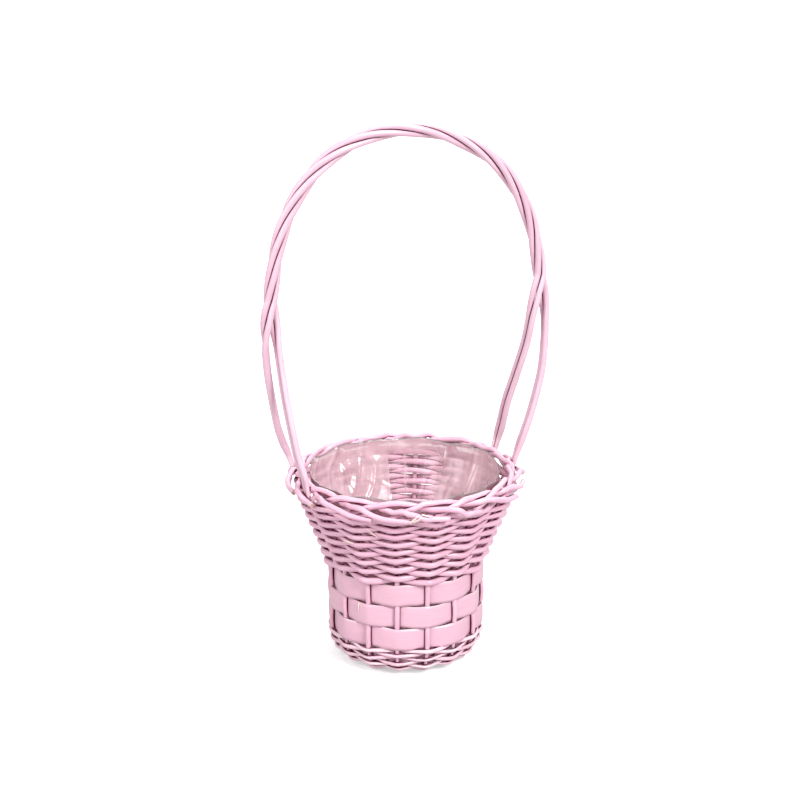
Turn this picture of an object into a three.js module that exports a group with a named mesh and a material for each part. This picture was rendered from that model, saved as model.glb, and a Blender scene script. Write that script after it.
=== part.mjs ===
// Easter basket: a round wicker basket with a flared rim, a plaited border,
// three rows of flat splint round the waist, a roped overhead handle and a
// loose clear film liner. Millimetres, +Z up, base on z = 0, handle along X.
import * as THREE from 'three';

// Rods and splints
const STAKES = 16;
const STAKE_R = 2.0;
const GAP = 0.3;
const CLEAR = 0.1;
const SIDES = 5;
const FLARE_ROD_LOW_R = 2.2;
const FLARE_ROD_HIGH_R = 1.85;
const FOOT_ROD_R = 1.6;
const BASE_ROD_R = 1.8;
const SPLINT_THICK = 1.2;

// The turn from the base up into the wall
const CORNER_R = 12.2;
const CORNER_X = 50.8;

// Wall line followed by the middle of the stakes, as [radius, height]
const WALL = [
  [63.8, 19.1],
  [65.3, 28],
  [65.5, 50],
  [65.5, 84],
  [67.3, 95],
  [70.6, 105],
  [74.6, 115],
  [78.9, 125],
  [83.0, 135],
  [87.2, 145],
  [90.3, 152],
];

// Splint rows
const SPLINT_ROWS = 3;
const SPLINT_LOW = 27.9;
const SPLINT_PITCH = 20.0;
const SPLINT_TALL = 18.8;
const SPLINT_POINTS = 48;

// Flare, foot and base weaving
const FLARE_ROWS = 16;
const FLARE_LOW = 90.3;
const FLARE_HIGH = 154.8;
const FLARE_CROWDING = 0.14;
const FOOT_ROWS = 8;
const FOOT_LOW_ARC = 0.4;
const FOOT_HIGH = 25.9;
const BASE_ROWS = 5;
const BASE_INNER_R = 31.5;
const BASE_OUTER_R = 47.5;

// Middle of the base, where four rods cross four others
const CROSS_GROUP = 4;
const CROSS_TURN = 11.25;
const CROSS_STRAIGHT = 9.0;
const CROSS_FLAT = 13.0;
const CROSS_SPLAY_R = 24.0;
const CROSS_PITCH = 2 * STAKE_R + GAP;

// Border: path of one stake round the rim, as [stake steps, radial, height]
// from the middle of the border's section
const BORDER_R = 93.75;
const BORDER_Z = 163.0;
const BORDER_PATH = [
  [0.0, -2.2, -8.6],
  [0.03, -1.5, -5.6],
  [0.3, -1.3, -0.8],
  [0.5, -1.2, 2.2],
  [0.7, -2.2, 4.2],
  [1.0, -4.4, 4.5],
  [1.3, -5.2, 4.0],
  [1.5, -5.5, 2.8],
  [1.6, -5.4, 1.7],
  [1.7, -4.6, 0.6],
  [1.85, -2.4, 0.1],
  [2.0, 0.1, 0.5],
  [2.2, 2.8, 1.3],
  [2.35, 5.0, 0.3],
  [2.5, 6.2, -1.0],
  [2.75, 6.8, -3.2],
  [3.0, 6.9, -4.6],
  [3.4, 6.8, -6.0],
];

// Handle: line of the arch as [x, z], between the two places where legs cross
const HANDLE_ROD_R = 2.6;
const HANDLE_TIP_R = 1.4;
const HANDLE_Y = 4.0;
const HANDLE_TURNS = 2.5;
const ROPE_STEPS = 30;
const PAIR_HALF = HANDLE_ROD_R + GAP / 2;
const TIP_HALF = HANDLE_TIP_R + GAP;
const TAPER_LOW = 172.0;
const TAPER_HIGH = 188.0;
const ARCH = [
  [-113.8, 322],
  [-111.5, 340],
  [-107.4, 363.5],
  [-99.6, 388],
  [-87.3, 410.5],
  [-70.6, 430],
  [-49.9, 444.5],
  [-24.5, 454],
  [3, 456.5],
  [31, 452.5],
  [60, 440],
  [82, 423],
  [98.5, 401],
  [110, 376],
  [116.5, 350],
  [119.8, 330],
];

// Ways down through the border for a thinned rod end, as [radial, height] from
// the middle of the border's section
const SLOT_AT_STAKE = [[8.2, 14.0], [6.6, 9.0], [5.2, 4.6], [4.2, 1.4], [3.2, -1.2], [2.2, -4.2]];
const SLOT_BETWEEN = [[3.8, 14.0], [2.8, 9.0], [2.0, 4.4], [1.6, 1.9], [1.3, -0.8], [0.9, -4.2]];

// Legs below the crossings: middle of each pair of rods as [x, y, z], from the
// crossing down, then the place on the rim where the pair goes into the border
const LEGS = {
  leftBack: {
    line: [[-117.2, 0.5, 311], [-119.0, 3.0, 292], [-116.6, 9.6, 262],
      [-111.2, 18.4, 233], [-105.0, 28.3, 206], [-98.7, 36.4, 188]],
    azimuth: 157.1,
    slot: SLOT_AT_STAKE,
  },
  leftFront: {
    line: [[-111.3, 7.8, 311], [-109.2, 4.6, 290], [-107.2, -0.6, 264],
      [-105.0, -7.0, 239], [-101.6, -14.6, 212], [-98.4, -19.6, 192]],
    azimuth: 194.1,
    slot: SLOT_BETWEEN,
  },
  rightBack: {
    line: [[115.2, -0.3, 314], [112.4, 2.4, 295], [110.4, 7.4, 270],
      [105.9, 14.6, 242], [100.2, 22.6, 212], [95.6, 29.0, 190]],
    azimuth: 22.1,
    slot: SLOT_AT_STAKE,
  },
  rightFront: {
    line: [[124.0, 8.0, 314], [125.9, 5.8, 295], [125.2, 3.2, 270],
      [121.6, 0.6, 242], [113.4, -1.6, 212], [106.8, -2.2, 192]],
    azimuth: -0.4,
    slot: SLOT_AT_STAKE,
  },
};
const UNTWIST = 45.0;

// Film liner: outside profile as [radius, height], standing clear of the weave
const FILM = 0.4;
const LINER_SEGMENTS = 24;
const LINER = [
  [0, 14.2],
  [48.0, 14.2],
  [52.5, 14.9],
  [55.6, 17.2],
  [57.4, 21.0],
  [58.4, 30.0],
  [58.4, 90.0],
  [62.7, 105.0],
  [70.9, 125.0],
  [79.0, 145.0],
  [82.2, 153.0],
  [83.0, 163.0],
  [83.3, 168.0],
];

const STEP = (2 * Math.PI) / STAKES;
const DEG = Math.PI / 180;
const UP = new THREE.Vector3(0, 0, 1);

// How far a rod swings off the wall line to clear the stakes it passes. The
// closer the stakes, the steeper it runs between them and the further it swings.
function swingFor(radius, rodR) {
  const reach = STAKE_R + rodR + CLEAR;
  const halfSpacing = (radius * STEP) / 2;
  const steep = 1 / Math.sqrt(1 / reach ** 2 - 1 / halfSpacing ** 2);
  return Math.max(STAKE_R + GAP + rodR, steep);
}

// Distance from the middle of a faceted rod to its flat underside
function flatDown(radius) {
  return radius * Math.cos(Math.PI / SIDES);
}

// Height of the rods lying across the base, so that its lowest round is at zero
const BASE_LEVEL = swingFor(BASE_INNER_R, BASE_ROD_R) + flatDown(BASE_ROD_R);

const group = new THREE.Group();
group.name = 'easter_basket';

function addPiece(name, geometry, color, roughness, opacity = 1) {
  const material = new THREE.MeshStandardMaterial({ color, roughness, metalness: 0 });
  material.opacity = opacity;
  material.transparent = opacity < 1;
  const mesh = new THREE.Mesh(geometry, material);
  mesh.name = name;
  group.add(mesh);
}

function polar(radius, angle, z) {
  return new THREE.Vector3(radius * Math.cos(angle), radius * Math.sin(angle), z);
}

// Directions along a run of points, the mean of the two neighbouring pieces
function tangents(points, closed) {
  const last = points.length - 1;
  return points.map((point, i) => {
    const before = points[i > 0 ? i - 1 : closed ? last : 0];
    const after = points[i < last ? i + 1 : closed ? 0 : last];
    const back = point.clone().sub(before).normalize();
    const ahead = after.clone().sub(point).normalize();
    return back.add(ahead).normalize();
  });
}

// A rod of SIDES faces swept along points. The face opposite `start` is carried
// along without twisting from point number `from`.
function rodGeometry(points, radii, { closed = false, from = 0, start = UP } = {}) {
  const count = points.length;
  const along = tangents(points, closed);
  const normals = new Array(count);
  const square = (vector, i) => vector.clone().addScaledVector(along[i], -vector.dot(along[i]));
  normals[from] = square(start, from).normalize();
  for (let i = from + 1; i < count; i++) {
    normals[i] = square(closed ? start : normals[i - 1], i).normalize();
  }
  for (let i = from - 1; i >= 0; i--) {
    normals[i] = square(normals[i + 1], i).normalize();
  }
  const position = [];
  points.forEach((point, i) => {
    const side = along[i].clone().cross(normals[i]);
    for (let j = 0; j < SIDES; j++) {
      const turn = (2 * Math.PI * j) / SIDES;
      const corner = point.clone();
      corner.addScaledVector(normals[i], radii[i] * Math.cos(turn));
      corner.addScaledVector(side, radii[i] * Math.sin(turn));
      position.push(corner.x, corner.y, corner.z);
    }
  });
  const index = [];
  const spans = closed ? count : count - 1;
  for (let i = 0; i < spans; i++) {
    const here = i * SIDES;
    const next = ((i + 1) % count) * SIDES;
    for (let j = 0; j < SIDES; j++) {
      const k = (j + 1) % SIDES;
      index.push(here + j, here + k, next + k);
      index.push(here + j, next + k, next + j);
    }
  }
  if (!closed) {
    const end = (count - 1) * SIDES;
    for (let j = 1; j < SIDES - 1; j++) {
      index.push(0, j + 1, j);
      index.push(end, end + j, end + j + 1);
    }
  }
  const geometry = new THREE.BufferGeometry();
  geometry.setAttribute('position', new THREE.Float32BufferAttribute(position, 3));
  geometry.setIndex(index);
  geometry.computeVertexNormals();
  return geometry;
}

// The wall line from the base outwards and up, with its distance run
function wallLine() {
  const points = [[CROSS_SPLAY_R, BASE_LEVEL], [CORNER_X, BASE_LEVEL]];
  const cornerSteps = 4;
  for (let i = 1; i < cornerSteps; i++) {
    const turn = (i / cornerSteps) * (Math.PI / 2);
    points.push([
      CORNER_X + CORNER_R * Math.sin(turn),
      BASE_LEVEL + CORNER_R * (1 - Math.cos(turn)),
    ]);
  }
  points.push(...WALL);
  const runs = [0];
  for (let i = 1; i < points.length; i++) {
    const dr = points[i][0] - points[i - 1][0];
    const dz = points[i][1] - points[i - 1][1];
    runs.push(runs[i - 1] + Math.hypot(dr, dz));
  }
  return { points, runs };
}

const wall = wallLine();

// Place on the wall line a given distance along it, with the outward normal
function wallAt(run) {
  const { points, runs } = wall;
  let i = 1;
  while (i < runs.length - 1 && runs[i] < run) i++;
  const share = (run - runs[i - 1]) / (runs[i] - runs[i - 1]);
  const dr = points[i][0] - points[i - 1][0];
  const dz = points[i][1] - points[i - 1][1];
  const length = Math.hypot(dr, dz);
  return {
    r: points[i - 1][0] + dr * share,
    z: points[i - 1][1] + dz * share,
    nr: dz / length,
    nz: -dr / length,
  };
}

function runAtHeight(z) {
  const { points, runs } = wall;
  let i = 2;
  while (i < points.length - 1 && points[i][1] < z) i++;
  const share = (z - points[i - 1][1]) / (points[i][1] - points[i - 1][1]);
  return runs[i - 1] + share * (runs[i] - runs[i - 1]);
}

function runAtBaseRadius(radius) {
  return radius - CROSS_SPLAY_R;
}

// One round of plain weaving: outside one stake, inside the next
function weaverRing(run, rodR, startsOutside) {
  const place = wallAt(run);
  const swing = swingFor(place.r, rodR);
  const points = [];
  for (let i = 0; i < 2 * STAKES; i++) {
    const atStake = i % 2 === 0;
    const outside = (i / 2) % 2 === 0 ? startsOutside : !startsOutside;
    const offset = atStake ? (outside ? swing : -swing) : 0;
    points.push(polar(place.r + offset * place.nr, (i * STEP) / 2, place.z + offset * place.nz));
  }
  return rodGeometry(points, points.map(() => rodR), { closed: true });
}

const PINK = 0xe7a3c6;
const PALE_PINK = 0xeeb4d0;
const FILM_GREY = 0xd9cdd3;

// Base rounds, counted from the middle outwards
for (let i = 0; i < BASE_ROWS; i++) {
  const radius = BASE_INNER_R + ((BASE_OUTER_R - BASE_INNER_R) * i) / (BASE_ROWS - 1);
  const geometry = weaverRing(runAtBaseRadius(radius), BASE_ROD_R, i % 2 === 0);
  addPiece(`base_weaver_${i + 1}`, geometry, PINK, 0.45);
}

// Foot rounds, counted from the base upwards
const footStart = runAtBaseRadius(CORNER_X) + FOOT_LOW_ARC;
const footEnd = runAtHeight(FOOT_HIGH);
for (let i = 0; i < FOOT_ROWS; i++) {
  const run = footStart + ((footEnd - footStart) * i) / (FOOT_ROWS - 1);
  addPiece(`foot_weaver_${i + 1}`, weaverRing(run, FOOT_ROD_R, i % 2 === 1), PINK, 0.45);
}

// Flat splint rounds of the waist
function splintRing(low, startsOutside) {
  const middle = wallAt(runAtHeight(low + SPLINT_TALL / 2)).r;
  const swing = STAKE_R + GAP + SPLINT_THICK / 2;
  const outline = (shift) => {
    const points = [];
    for (let i = 0; i < SPLINT_POINTS; i++) {
      const angle = (2 * Math.PI * i) / SPLINT_POINTS;
      const wave = Math.cos((angle * STAKES) / 2) * (startsOutside ? swing : -swing);
      const radius = middle + wave + shift;
      points.push(new THREE.Vector2(radius * Math.cos(angle), radius * Math.sin(angle)));
    }
    return points;
  };
  const shape = new THREE.Shape(outline(SPLINT_THICK / 2));
  shape.holes.push(new THREE.Path(outline(-SPLINT_THICK / 2)));
  const options = { depth: SPLINT_TALL, bevelEnabled: false, steps: 1 };
  const geometry = new THREE.ExtrudeGeometry(shape, options);
  geometry.translate(0, 0, low);
  return geometry;
}

for (let i = 0; i < SPLINT_ROWS; i++) {
  const geometry = splintRing(SPLINT_LOW + i * SPLINT_PITCH, i % 2 === 1);
  addPiece(`splint_band_${i + 1}`, geometry, PALE_PINK, 0.4);
}

// Flare rounds, counted upwards: the higher ones are thinner and closer together
const flareStart = runAtHeight(FLARE_LOW);
const flareEnd = runAtHeight(FLARE_HIGH);
for (let i = 0; i < FLARE_ROWS; i++) {
  const share = i / (FLARE_ROWS - 1);
  const crowded = share + FLARE_CROWDING * share * (1 - share);
  const run = flareStart + (flareEnd - flareStart) * crowded;
  const rodR = FLARE_ROD_LOW_R + (FLARE_ROD_HIGH_R - FLARE_ROD_LOW_R) * share;
  addPiece(`flare_weaver_${i + 1}`, weaverRing(run, rodR, i % 2 === 0), PINK, 0.45);
}

// One half of a stake rod, from the middle of the base out to its border tip
function stakeHalf(spoke, lateral, heading, level) {
  const points = [];
  [CROSS_STRAIGHT, CROSS_FLAT].forEach((out) => {
    points.push(polar(Math.hypot(lateral, out), heading + Math.atan2(lateral, out), level));
  });
  wall.points.forEach(([radius, z]) => {
    points.push(polar(radius, spoke, z));
  });
  BORDER_PATH.forEach(([steps, radial, height]) => {
    points.push(polar(BORDER_R + radial, spoke + steps * STEP, BORDER_Z + height));
  });
  return points;
}

// Eight long rods, four laid across four: every end is one of sixteen stakes
const lowLevel = flatDown(STAKE_R);
const highLevel = lowLevel + STAKE_R + GAP + flatDown(STAKE_R);
for (let layer = 0; layer < 2; layer++) {
  const heading = (CROSS_TURN + 90 * layer) * DEG;
  const level = layer === 0 ? lowLevel : highLevel;
  const shift = layer === 0 ? CROSS_PITCH / 2 : 0;
  for (let i = 0; i < CROSS_GROUP; i++) {
    const place = i - (CROSS_GROUP - 1) / 2;
    const lateral = place * CROSS_PITCH + shift;
    const ahead = stakeHalf(heading + place * STEP, lateral, heading, level);
    const behindSpoke = heading + Math.PI - place * STEP;
    const behind = stakeHalf(behindSpoke, -lateral, heading + Math.PI, level);
    const points = [...behind.reverse(), ...ahead];
    const radii = points.map(() => STAKE_R);
    const geometry = rodGeometry(points, radii, { from: behind.length });
    addPiece(`stake_rod_${layer * CROSS_GROUP + i + 1}`, geometry, PALE_PINK, 0.42);
  }
}

// Arch line of the handle, evenly spaced, with outward normals
const archCurve = new THREE.CatmullRomCurve3(
  ARCH.map(([x, z]) => new THREE.Vector3(x, HANDLE_Y, z)),
);

// Middle of one pair of rods and the direction in which its two rods lie
function pairLine(left, right, startTurn) {
  const middles = [];
  const spreads = [];
  const addLeg = (leg, crossing, reverse) => {
    const rim = leg.azimuth * DEG;
    const foot = leg.slot.map(([radial, height]) => (
      polar(BORDER_R + radial, rim, BORDER_Z + height)
    ));
    const knots = [crossing, ...leg.line.map((p) => new THREE.Vector3(...p)), ...foot];
    const curve = new THREE.CatmullRomCurve3(knots, false, 'centripetal');
    const alongRim = (rim + Math.PI / 2) % Math.PI;
    const spans = knots.length - 1;
    const points = [];
    for (let i = 1; i < 2 * leg.line.length; i++) points.push(curve.getPoint(i / (2 * spans)));
    points.push(knots[leg.line.length], ...foot);
    const sides = points.map((point) => {
      const share = THREE.MathUtils.smoothstep(point.z, crossing.z - UNTWIST, crossing.z);
      return polar(1, THREE.MathUtils.lerp(alongRim, Math.PI, share), 0);
    });
    if (reverse) {
      points.reverse();
      sides.reverse();
    }
    middles.push(...points);
    spreads.push(...sides);
  };
  const rope = [];
  const ropeSpreads = [];
  for (let i = 0; i <= ROPE_STEPS; i++) {
    const share = i / ROPE_STEPS;
    const point = archCurve.getPointAt(share);
    const along = archCurve.getTangentAt(share);
    const out = new THREE.Vector3(-along.z, 0, along.x);
    const depth = new THREE.Vector3(0, 1, 0);
    const turn = startTurn - 2 * Math.PI * HANDLE_TURNS * share;
    const offset = out.clone().multiplyScalar(Math.cos(turn));
    offset.addScaledVector(depth, Math.sin(turn));
    const spread = out.clone().multiplyScalar(-Math.sin(turn));
    spread.addScaledVector(depth, Math.cos(turn));
    rope.push(point.clone().addScaledVector(offset, PAIR_HALF));
    ropeSpreads.push(spread);
  }
  addLeg(left, rope[0], true);
  if (spreads[spreads.length - 1].dot(ropeSpreads[0]) < 0) ropeSpreads.forEach((s) => s.negate());
  middles.push(...rope);
  spreads.push(...ropeSpreads);
  const before = spreads[spreads.length - 1];
  const legStart = middles.length;
  addLeg(right, rope[ROPE_STEPS], false);
  if (spreads[legStart].dot(before) < 0) {
    for (let i = legStart; i < spreads.length; i++) spreads[i].negate();
  }
  const along = tangents(middles, false);
  spreads.forEach((spread, i) => {
    spread.addScaledVector(along[i], -spread.dot(along[i])).normalize();
  });
  return { middles, spreads };
}

function handleRod(line, sign) {
  const radii = [];
  const points = line.middles.map((middle, i) => {
    const share = THREE.MathUtils.smoothstep(middle.z, TAPER_LOW, TAPER_HIGH);
    radii.push(THREE.MathUtils.lerp(HANDLE_TIP_R, HANDLE_ROD_R, share));
    const half = THREE.MathUtils.lerp(TIP_HALF, PAIR_HALF, share);
    return middle.clone().addScaledVector(line.spreads[i], sign * half);
  });
  return rodGeometry(points, radii, { start: new THREE.Vector3(1, 0, 0) });
}

const pairs = [
  pairLine(LEGS.leftBack, LEGS.rightFront, -Math.PI / 2),
  pairLine(LEGS.leftFront, LEGS.rightBack, Math.PI / 2),
];
pairs.forEach((line, i) => {
  addPiece(`handle_rod_${2 * i + 1}`, handleRod(line, 1), PALE_PINK, 0.42);
  addPiece(`handle_rod_${2 * i + 2}`, handleRod(line, -1), PALE_PINK, 0.42);
});

// Film liner, an open bag of even thickness
function linerGeometry() {
  const outside = LINER.map(([radius, z]) => new THREE.Vector2(radius, z));
  const inside = LINER.map(([radius, z], i) => {
    const before = LINER[Math.max(i - 1, 0)];
    const after = LINER[Math.min(i + 1, LINER.length - 1)];
    const dr = after[0] - before[0];
    const dz = after[1] - before[1];
    const length = Math.hypot(dr, dz);
    const shrunk = radius === 0 ? 0 : radius - (FILM * dz) / length;
    return new THREE.Vector2(shrunk, z + (FILM * dr) / length);
  });
  inside[inside.length - 1].y = LINER[LINER.length - 1][1];
  inside[0].y = LINER[0][1] + FILM;
  const profile = [...outside, ...inside.reverse()];
  const geometry = new THREE.LatheGeometry(profile, LINER_SEGMENTS);
  geometry.rotateX(Math.PI / 2);
  return geometry;
}

addPiece('film_liner', linerGeometry(), FILM_GREY, 0.2, 0.35);

export default group;
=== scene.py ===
import math

import bpy
import numpy as np
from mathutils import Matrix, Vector


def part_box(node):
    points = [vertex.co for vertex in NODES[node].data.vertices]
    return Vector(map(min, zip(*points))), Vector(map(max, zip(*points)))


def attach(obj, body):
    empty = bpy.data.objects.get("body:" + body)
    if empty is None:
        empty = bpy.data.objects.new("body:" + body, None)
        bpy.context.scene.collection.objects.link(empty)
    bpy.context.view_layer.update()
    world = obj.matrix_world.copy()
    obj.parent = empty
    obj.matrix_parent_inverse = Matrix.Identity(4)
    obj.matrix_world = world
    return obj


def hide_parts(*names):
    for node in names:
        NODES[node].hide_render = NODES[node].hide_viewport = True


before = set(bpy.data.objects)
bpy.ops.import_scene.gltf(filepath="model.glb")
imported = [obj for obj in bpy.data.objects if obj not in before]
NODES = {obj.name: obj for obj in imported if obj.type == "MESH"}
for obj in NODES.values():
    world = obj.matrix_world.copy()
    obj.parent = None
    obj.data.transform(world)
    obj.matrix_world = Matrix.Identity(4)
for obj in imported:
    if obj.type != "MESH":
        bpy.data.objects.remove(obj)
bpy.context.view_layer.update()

MM = 0.001

# Basket: sixteen stakes, counted from +X towards +Y
STAKES = 16
STEP = 2 * math.pi / STAKES
STAKE_R = 1.95 * MM
STAKE_WAIST_R = 2.15 * MM
STAKE_FOOT_R = 1.5 * MM
STAKE_BOW = 1.0 * MM
GAP = 0.1 * MM
ROD_SPACING = 2.0 * MM
FLARE_ROWS = 16
FOOT_ROWS = 8
BASE_ROWS = 5
SPLINT_ROWS = 3
FLARE_ROD_LOW_R = 2.2 * MM
FLARE_ROD_HIGH_R = 1.85 * MM
FLARE_ROD_TALLER = 1.22
FOOT_ROD_R = 1.5 * MM
BASE_ROD_R = 1.8 * MM
SPLINT_THICK = 1.2 * MM

# Where the thickness of a stake changes: heights up the wall, distance out over
# the base, and distances from its tip, where a share of its thickness is left
FOOT_TO_WAIST = (22 * MM, 28 * MM)
WAIST_TO_BOWL = (82 * MM, 92 * MM)
FOOT_OUT_FROM = (46 * MM, 52 * MM)
BORDER_LENGTH = (125 * MM, 150 * MM)
TIP_TAPER = 25 * MM
STAKE_TIP_SHARE = 0.86

# Border: one stake's way round the rim, as (stake steps, radial, height), the
# last two in millimetres from the middle of the border's section
BORDER_R = 93.75
BORDER_Z = 163.0
BORDER_PATH = [
    (0.0, -1.5, -5.6),
    (0.3, -1.3, -0.8),
    (0.5, -1.2, 2.2),
    (0.7, -2.2, 4.2),
    (1.0, -4.4, 4.5),
    (1.3, -5.2, 4.0),
    (1.5, -5.5, 2.8),
    (1.6, -5.4, 1.7),
    (1.7, -4.6, 0.6),
    (1.85, -2.4, 0.1),
    (2.0, 0.1, 0.5),
    (2.2, 2.8, 1.3),
    (2.35, 5.0, 0.3),
    (2.5, 6.2, -1.0),
    (2.75, 6.8, -3.2),
    (3.0, 6.9, -4.6),
    (3.4, 6.8, -6.0),
]
BORDER_ROD_R = 2.45 * MM

# How far each point of the border strays, in millimetres, and how many stake
# steps longer or shorter the end of a rod can be, and from where
BORDER_UNEVEN = 0.50
TAIL_REACH = 0.4
TAIL_FROM = 2.2
TAIL_TO = 3.4

# Middle of the base, where four rods cross four others, in millimetres, and
# how far the middle of a rod lies above its lowest point there
CROSS_GROUP = 4
CROSS_TURN = math.radians(11.25)
CROSS_PITCH = 4.3
CROSS_OUT = (9.0, 13.0)
SPLAY_R = 24.0
SPOKE_LEVEL = 1.7 * MM

# Handle, in millimetres: line of the arch as (x, z) between the two places
# where its legs cross, the legs below them as (x, y, z), and how each leg goes
# down through the border as (radial, height) from the middle of its section
HANDLE_ROD_R = 2.65
HANDLE_TIP_R = 1.9
HANDLE_Y = 4.0
HANDLE_TURNS = 2.5
HANDLE_SPREAD = 2.7
HANDLE_UNTWIST = 45.0
HANDLE_TAPER = (166, 186)
HANDLE_GAP = 0.1
ARCH = [
    (-113.8, 322), (-111.5, 340), (-107.4, 363.5), (-99.6, 388), (-87.3, 410.5),
    (-70.6, 430), (-49.9, 444.5), (-24.5, 454), (3, 456.5), (31, 452.5), (60, 440),
    (82, 423), (98.5, 401), (110, 376), (116.5, 350), (119.8, 330),
]
SLOT_AT_STAKE = [(8.2, 14.0), (6.6, 9.0), (5.2, 4.6), (4.2, 1.4), (3.2, -1.2), (2.2, -4.2)]
SLOT_NEAR_STAKE = [(7.2, 14.0), (5.6, 9.0), (4.0, 4.6), (2.6, 1.4), (1.8, -1.2), (1.2, -4.2)]
SLOT_BETWEEN = [(3.8, 14.0), (2.8, 9.0), (2.0, 4.4), (1.6, 1.9), (1.3, -0.8), (0.9, -4.2)]
LEFT_BACK = {
    "line": [(-117.2, 0.5, 311), (-119.0, 3.0, 292), (-116.6, 9.6, 262),
             (-111.2, 18.4, 233), (-105.0, 28.3, 206), (-98.7, 36.4, 188)],
    "azimuth": 157.1,
    "slot": SLOT_AT_STAKE,
}
LEFT_FRONT = {
    "line": [(-111.3, 7.8, 311), (-109.2, 4.6, 290), (-107.2, -0.6, 264),
             (-105.0, -7.0, 239), (-101.6, -14.6, 212), (-98.4, -19.6, 192)],
    "azimuth": 194.1,
    "slot": SLOT_BETWEEN,
}
RIGHT_BACK = {
    "line": [(115.2, -0.3, 314), (112.4, 2.4, 295), (110.0, 7.9, 270),
             (105.2, 16.0, 242), (99.6, 25.0, 212), (97.0, 30.4, 190)],
    "azimuth": 19.6,
    "slot": SLOT_NEAR_STAKE,
}
RIGHT_FRONT = {
    "line": [(124.0, 8.0, 314), (125.9, 5.8, 295), (125.2, 3.2, 270),
             (121.6, 0.6, 242), (113.4, -1.6, 212), (106.8, -2.2, 192)],
    "azimuth": -0.4,
    "slot": SLOT_AT_STAKE,
}

rng = np.random.default_rng(16)


# ---------------------------------------------------------------- curves

def smooth_line(points, per_span):
    """Catmull-Rom line through points, per_span samples to each span."""
    p = np.asarray(points, float)
    p = np.vstack([2 * p[0] - p[1], p, 2 * p[-1] - p[-2]])
    t = np.linspace(0, 1, per_span, endpoint=False)[:, None]
    spans = []
    for a, b, c, d in zip(p[:-3], p[1:-2], p[2:-1], p[3:]):
        bend = 2 * a - 5 * b + 4 * c - d
        turn = -a + 3 * b - 3 * c + d
        spans.append(0.5 * (2 * b + (c - a) * t + bend * t ** 2 + turn * t ** 3))
    spans.append(p[-2:-1])
    return np.vstack(spans)


def run_along(points):
    """Distance along a line of points, from its start."""
    steps = np.linalg.norm(np.diff(points, axis=0), axis=1)
    return np.concatenate([[0.0], np.cumsum(steps)])


def even_line(points, spacing):
    """The same line with points about `spacing` apart."""
    run = run_along(points)
    count = max(int(run[-1] / spacing), 2)
    at = np.linspace(0, run[-1], count + 1)
    return np.stack([np.interp(at, run, points[:, k]) for k in range(3)], axis=1)


def polar(radius, angle, z):
    """Points at a radius and an angle round the basket's axis, at a height."""
    return np.stack(np.broadcast_arrays(radius * np.cos(angle), radius * np.sin(angle), z), -1)


def smoothstep(value, low, high):
    """0 below low, 1 above high, and a smooth rise between."""
    t = np.clip((value - low) / (high - low), 0, 1)
    return t * t * (3 - 2 * t)


def kinked(angle, sharpness):
    """A wave that turns over sharply at every stake and runs straight between."""
    wave = np.cos(angle * STAKES / 2)
    return np.arcsin(sharpness * wave) / math.asin(sharpness)


def wander(angle, waves, amplitude):
    """A gentle wobble round the basket that meets itself."""
    total = np.zeros_like(angle)
    for k in range(1, waves + 1):
        phase = rng.uniform(0, 2 * math.pi)
        size = rng.normal(0, 1) / math.sqrt(waves)
        total += size * np.cos(k * angle + phase)
    return total * amplitude


def wander_open(count, every, amplitude):
    """A wobble for an open rod: random values every few points, joined smoothly."""
    knots = max(count // every, 2) + 2
    values = rng.normal(0, amplitude, knots)
    at = np.linspace(0, knots - 1, count)
    low = np.clip(at.astype(int), 0, knots - 2)
    t = at - low
    t = t * t * (3 - 2 * t)
    return values[low] * (1 - t) + values[low + 1] * t


# ---------------------------------------------------------------- meshes

def add_object(name, verts, faces):
    """A new smooth-shaded mesh object in the scene."""
    mesh = bpy.data.meshes.new(name)
    mesh.from_pydata(np.asarray(verts).tolist(), [], faces)
    mesh.polygons.foreach_set("use_smooth", np.ones(len(faces), bool))
    obj = bpy.data.objects.new(name, mesh)
    bpy.context.scene.collection.objects.link(obj)
    return obj


def set_grain(mesh, grain):
    """Lengthwise grain coordinates, one per face corner so that a ring has no seam."""
    attribute = mesh.attributes.new("grain", "FLOAT_VECTOR", "CORNER")
    attribute.data.foreach_set("vector", grain.astype(np.float32).ravel())


def tube_quads(count, sides, closed):
    """The quads of a tube of `count` sections, and the section i and side j that
    each starts from."""
    spans = count if closed else count - 1
    i = np.repeat(np.arange(spans), sides)
    j = np.tile(np.arange(sides), spans)
    i2 = (i + 1) % count
    j2 = (j + 1) % sides
    quads = np.stack([i * sides + j, i2 * sides + j, i2 * sides + j2, i * sides + j2], 1)
    return quads, i, j


def mesh_points(mesh):
    co = np.zeros(len(mesh.vertices) * 3)
    mesh.vertices.foreach_get("co", co)
    return co.reshape(-1, 3)


def keep_above_floor(obj):
    """Flattens anything that would dip below the plane the basket rests on."""
    co = mesh_points(obj.data)
    co[:, 2] = np.maximum(co[:, 2], 0)
    obj.data.vertices.foreach_set("co", co.ravel())
    obj.data.update()


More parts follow.
